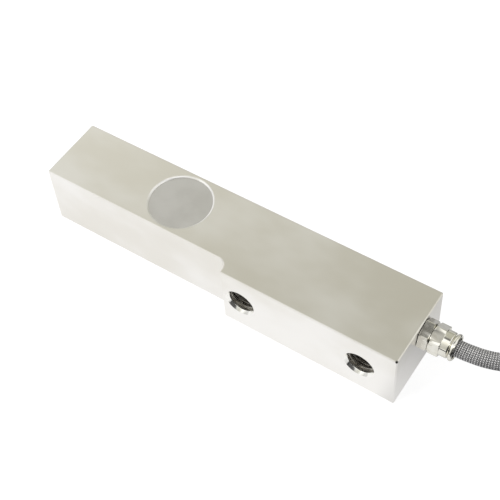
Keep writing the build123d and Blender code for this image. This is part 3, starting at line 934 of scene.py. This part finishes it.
def glandMesh(name):
    if any(len(ring) == 3 for ring in glandRings[name]):
        turn = radians(gland["nutTurn"] if name == "clamping_nut" else gland["bodyTurn"])
        steps = [(turn + angle, local) for angle, local in flatAngles()]
    else:
        steps = [(angle, 0) for angle in roundAngles(gland["roundSteps"])]
    rings = []
    for ring in glandRings[name]:
        flat = [gland["acrossFlats"] / 2 / cos(local) for angle, local in steps]
        radii = [min(ring[1], limit) if len(ring) == 3 else ring[1] for limit in flat]
        rings.append((ring[0], radii))
    return turnedMesh(name, glandCentre, (1, 0, 0), (0, 1, 0), rings, [angle for angle, local in steps])


def placePiece(mesh, finish, node=None):
    piece = makeObject(mesh.name, mesh)
    mesh.materials.append(materials[finish])
    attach(piece, body)
    if node:
        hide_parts(node)
    return piece


for name, (node, finish, slot) in glandDress.items():
    placePiece(glandMesh(name), finish, node)
print("gland turned")


# Lips of the two gauge recesses, and the countersunk mouths of the tapped holes

recessRim = {  # height above the face and radius: a shallow lip, then back under it
    "rings": [
        (0.0, 17.5), (0.012, 17.4), (-0.47, 16.5), (-0.6, 16.42), (-0.79, 16.42), (-0.79, 16.7), (-0.3, 17.3),
    ],
    "around": 128,
}
holeMouth = {  # depth below the face and radius: the countersink, then back behind it
    "rings": [(0.0, 8.28), (1.30, 6.98), (1.42, 6.92), (1.62, 6.92), (2.1, 7.5), (2.1, 8.3), (0.5, 8.3)],
    "around": 96,
}


def recessRims():
    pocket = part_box("top_cover_disc")
    centre = ((pocket[0].x + pocket[1].x) / 2, (pocket[0].y + pocket[1].y) / 2)
    angles = roundAngles(recessRim["around"])
    rings = [(distance, [radius] * len(angles)) for distance, radius in recessRim["rings"]]
    for name, height, side in (("upper_recess_rim", beamTop, 1), ("lower_recess_rim", beamLow.z, -1)):
        mesh = turnedMesh(name, (*centre, height), (0, 0, side), (1, 0, 0), rings, angles)
        placePiece(mesh, "rimNickel")


def holeMouths():
    angles = roundAngles(holeMouth["around"])
    for name, (mouth, outwards) in tappedHoles.items():
        rings = [(-depth, [radius] * len(angles)) for depth, radius in holeMouth["rings"]]
        mesh = turnedMesh(name.replace("thread", "mouth"), mouth, outwards, (1, 0, 0), rings, angles)
        placePiece(mesh, "brightEdge")


recessRims()
holeMouths()
print("rims and mouths turned")


# Finishes of the CAD nodes that stay

nodeFinish = {
    "beam_body": "beamNickel", "top_cover_disc": "coverSteel", "bottom_cover_disc": "coverSteel",
    "gland_bush": "blackNylon", "gland_washer": "glandNickel",
    "top_shear_gauge": "gaugeFilm", "bottom_shear_gauge": "gaugeFilm", "circuit_board": "boardGreen",
    "trim_resistors": "chipBlack", "terminal_strip": "terminalCream", "board_posts": "boardBrass",
    "gauge_wires": "tinnedCopper", "web_link": "tinnedCopper", "inner_jacket": "innerJacket",
    "near_tie": "blackNylon", "end_tie": "blackNylon", "end_sleeve": "heatShrink",
    "shield_tail": "tinnedCopper", "tail_tips": "tinnedCopper",
}
for colour in ("red", "black", "green", "white"):
    for part in ("lead", "tail"):
        nodeFinish[f"{colour}_{part}"] = f"{colour}Insulation"

for name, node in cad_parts.items():
    if name in nodeFinish:
        node.data.materials.clear()
        node.data.materials.append(materials[nodeFinish[name]])
print("nodes dressed", len(nodeFinish))


# Floor, lamps and the studio that the bright metal mirrors

stageSetup = {
    "floorReach": 30.0,
    "floorDrop": 0.02,
    "floorTone": 0.9,
    "cameraTone": 0.3,  # the floor's own colour where the camera sees it, with a glow added
    "cameraGlow": 0.78,
    "mirrorTone": 0.1,  # the same where the metal mirrors it
    "mirrorGlow": 0.87,
    "worldStrength": 0.75,
    "lowestRise": 0.05,  # flatter rays mirror the same tones
}
overhead = {  # what the metal mirrors from above, by the slope of the ray across the beam
    -2.2: (0.86, 0.86, 0.85, 1),
    -1.2: (1.05, 1.05, 1.03, 1),
    -0.7: (1.5, 1.5, 1.48, 1),
    -0.54: (1.5, 1.5, 1.48, 1),
    -0.42: (1.03, 1.03, 1.03, 1),
    -0.24: (0.80, 0.795, 0.815, 1),
    -0.09: (0.32, 0.32, 0.325, 1),
    0.12: (0.26, 0.258, 0.25, 1),
    0.28: (0.58, 0.57, 0.52, 1),
    0.46: (0.71, 0.705, 0.63, 1),
    0.66: (0.79, 0.786, 0.725, 1),
    1.4: (0.80, 0.795, 0.74, 1),
    3.0: (0.60, 0.60, 0.56, 1),
}
alongTone = {  # by the slope of the ray along the beam
    -2.2: (0.8, 0.8, 0.8, 1),
    -1.2: (1.08, 1.08, 1.08, 1),
    -0.75: (1.23, 1.235, 1.24, 1),
    -0.56: (0.91, 0.905, 0.885, 1),
    -0.2: (0.65, 0.645, 0.595, 1),
    0.5: (0.8, 0.8, 0.8, 1),
    1.4: (1.3, 1.3, 1.3, 1),
}
skyPatches = [  # a dark corner, a dark gap low in front and three glows that the recess's lip mirrors
    {"towards": (0.62, -0.78, 0.1), "inner": 0.88, "outer": 0.79, "tone": 0.1},
    {"towards": (-0.18, -0.98, -0.04), "inner": 0.995, "outer": 0.988, "tone": 0.04},
    {"towards": (0.45, 0.28, 0.82), "inner": 0.94, "outer": 0.86, "tone": 0.92},
    {"towards": (0.12, -0.3, 0.95), "inner": 0.985, "outer": 0.955, "tone": 1.15},
    {"towards": (-0.9, 0.22, 0.3), "inner": 0.95, "outer": 0.85, "tone": 0.95},
]
# Painted shadow and painted light on the floor, seen only in the metal's reflections: the grey behind, the
# dark patch and the duller and dark zones past the end face are painted shadow; the paler strip beside the
# gland is a painted pool of light
mirrorFloor = {  # what the metal mirrors from the floor, with x counted from the end face
    "greyAcross": (-0.024, 0.036), "grey": 0.50,  # pale in front, greyer behind
    "patch": (-0.035, -0.28), "patchSize": (0.055, 0.205), "patchEdge": (0.8, 1.1),  # one dark patch
    "darkTone": 0.03,
    "endAlong": (-0.012, -0.002), "endTone": 0.82,  # duller from the end face on
    "stripAcross": (0.016, 0.030), "stripAway": (0.05, 0.065), "stripTone": 1.78,  # paler beside the gland
    "stripAlong": (-0.002, 0.002),
    "darkAlong": (0.03, 0.05),  # dark past the gland
}


def seenRays(tree):
    path = tree.nodes.new("ShaderNodeLightPath")
    mirrored = calc(tree, "MAXIMUM", path.outputs["Is Glossy Ray"], path.outputs["Is Transmission Ray"])
    return path.outputs["Is Camera Ray"], mirrored


def mirroredFloor(tree):
    # the floor's tone in the metal, by place: painted shadow, with one painted paler strip
    place = addNode(tree, "ShaderNodeSeparateXYZ", Vector=objectPlace(tree))
    x, y = place.outputs["X"], place.outputs["Y"]
    tone = ramp(tree, y, *mirrorFloor["greyAcross"], 1.0, mirrorFloor["grey"])
    offsets = []
    middles = (cableEnd + mirrorFloor["patch"][0], mirrorFloor["patch"][1])
    for value, middle, size in zip((x, y), middles, mirrorFloor["patchSize"]):
        offsets.append(calc(tree, "DIVIDE", calc(tree, "SUBTRACT", value, middle), size))
    away = calc(tree, "ADD", *[calc(tree, "MULTIPLY", offset, offset) for offset in offsets])
    patch = ramp(tree, away, *mirrorFloor["patchEdge"], mirrorFloor["darkTone"], 1.0)
    beyond = calc(tree, "SUBTRACT", x, cableEnd)
    duller = ramp(tree, beyond, *mirrorFloor["endAlong"], 1.0, mirrorFloor["endTone"])
    dark = ramp(tree, beyond, *mirrorFloor["darkAlong"], 1.0, mirrorFloor["darkTone"])
    across = ramp(tree, y, *mirrorFloor["stripAcross"])
    strip = calc(tree, "MULTIPLY", across, ramp(tree, beyond, *mirrorFloor["stripAlong"]))
    paler = ramp(tree, y, *mirrorFloor["stripAway"], mirrorFloor["stripTone"], 1.0)
    brighter = calc(tree, "MULTIPLY_ADD", strip, calc(tree, "SUBTRACT", paler, 1.0), 1.0)
    for share in (patch, brighter, duller, dark):
        tone = calc(tree, "MULTIPLY", tone, share)
    return tone


def makeFloor():
    reach = stageSetup["floorReach"]
    height = cadBox[0][2] - stageSetup["floorDrop"] * mm
    corners = ((-reach, -reach), (reach, -reach), (reach, reach), (-reach, reach))
    mesh = bpy.data.meshes.new("floor")
    mesh.from_pydata([(x, y, height) for x, y in corners], [], [(0, 1, 2, 3)])
    floor = makeObject("floor", mesh)
    material = bpy.data.materials.new("whiteFloor")
    material.use_nodes = True
    tree = material.node_tree
    tree.nodes.clear()
    camera, mirrored = seenRays(tree)
    share = mirroredFloor(tree)
    plain = stageSetup["floorTone"]
    tone = calc(tree, "MULTIPLY_ADD", camera, stageSetup["cameraTone"] - plain, plain)
    inMirror = calc(tree, "MULTIPLY", share, stageSetup["mirrorTone"])
    tone = calc(tree, "MULTIPLY_ADD", mirrored, calc(tree, "SUBTRACT", inMirror, plain), tone)
    matt = addNode(tree, "ShaderNodeBsdfDiffuse", Color=tone)
    glow = calc(tree, "MULTIPLY", mirrored, calc(tree, "MULTIPLY", share, stageSetup["mirrorGlow"]))
    glow = calc(tree, "MULTIPLY_ADD", camera, stageSetup["cameraGlow"], glow)
    lit = addNode(tree, "ShaderNodeEmission", Strength=glow)
    both = tree.nodes.new("ShaderNodeAddShader")
    tree.links.new(matt.outputs[0], both.inputs[0])
    tree.links.new(lit.outputs[0], both.inputs[1])
    output = tree.nodes.new("ShaderNodeOutputMaterial")
    tree.links.new(both.outputs[0], output.inputs["Surface"])
    mesh.materials.append(material)


def toneRamp(tree, value, tones):
    # a colour ramp over slopes that run from the lowest to the highest key
    low, high = min(tones), max(tones)
    node = tree.nodes.new("ShaderNodeValToRGB")
    stops = node.color_ramp.elements
    while len(stops) < len(tones):
        stops.new(0.5)
    for stop, (at, colour) in zip(stops, sorted(tones.items())):
        stop.position, stop.color = (at - low) / (high - low), colour
    feed(tree, calc(tree, "DIVIDE", calc(tree, "SUBTRACT", value, low), high - low), node.inputs["Fac"])
    return node.outputs["Color"]


def makeWorld():
    world = bpy.data.worlds.new("studio")
    world.use_nodes = True
    tree = world.node_tree
    back = tree.nodes["Background"]
    camera, mirrored = seenRays(tree)
    direction = addNode(tree, "ShaderNodeTexCoord").outputs["Generated"]
    ray = addNode(tree, "ShaderNodeSeparateXYZ", Vector=direction)
    rise = calc(tree, "MAXIMUM", ray.outputs["Z"], stageSetup["lowestRise"])
    across = toneRamp(tree, calc(tree, "DIVIDE", ray.outputs["Y"], rise), overhead)
    along = toneRamp(tree, calc(tree, "DIVIDE", ray.outputs["X"], rise), alongTone)
    mirror = vectorCalc(tree, "MULTIPLY", across, along)
    for patch in skyPatches:
        near = vectorCalc(tree, "DOT_PRODUCT", direction, Vector(patch["towards"]).normalized())
        share = ramp(tree, near, patch["outer"], patch["inner"])
        mirror = blendColours(tree, share, mirror, (*[patch["tone"]] * 3, 1))
    strength = stageSetup["worldStrength"]
    plain = blendColours(tree, mirrored, (strength, strength, strength, 1), mirror)
    feed(tree, blendColours(tree, camera, plain, (1, 1, 1, 1)), back.inputs["Color"])
    bpy.context.scene.world = world


softLamps = {
    "keyLamp": {"place": (-0.55, -0.65, 1.1), "size": 0.7, "power": 14.0},
    "fillLamp": {"place": (0.6, 0.7, 0.9), "size": 0.9, "power": 4.0},
}


def addLamps():
    for name, values in softLamps.items():
        data = bpy.data.lights.new(name, "AREA")
        data.shape, data.size, data.energy = "DISK", values["size"], values["power"]
        thing = makeObject(name, data)
        place = Vector(values["place"])
        turn = (-place).to_track_quat("-Z", "Y").to_matrix().to_4x4()
        thing.matrix_world = Matrix.Translation(place) @ turn
        thing.visible_glossy = False


addLamps()
makeFloor()
makeWorld()
bpy.context.scene.view_settings.view_transform = "Standard"
print("stage set")
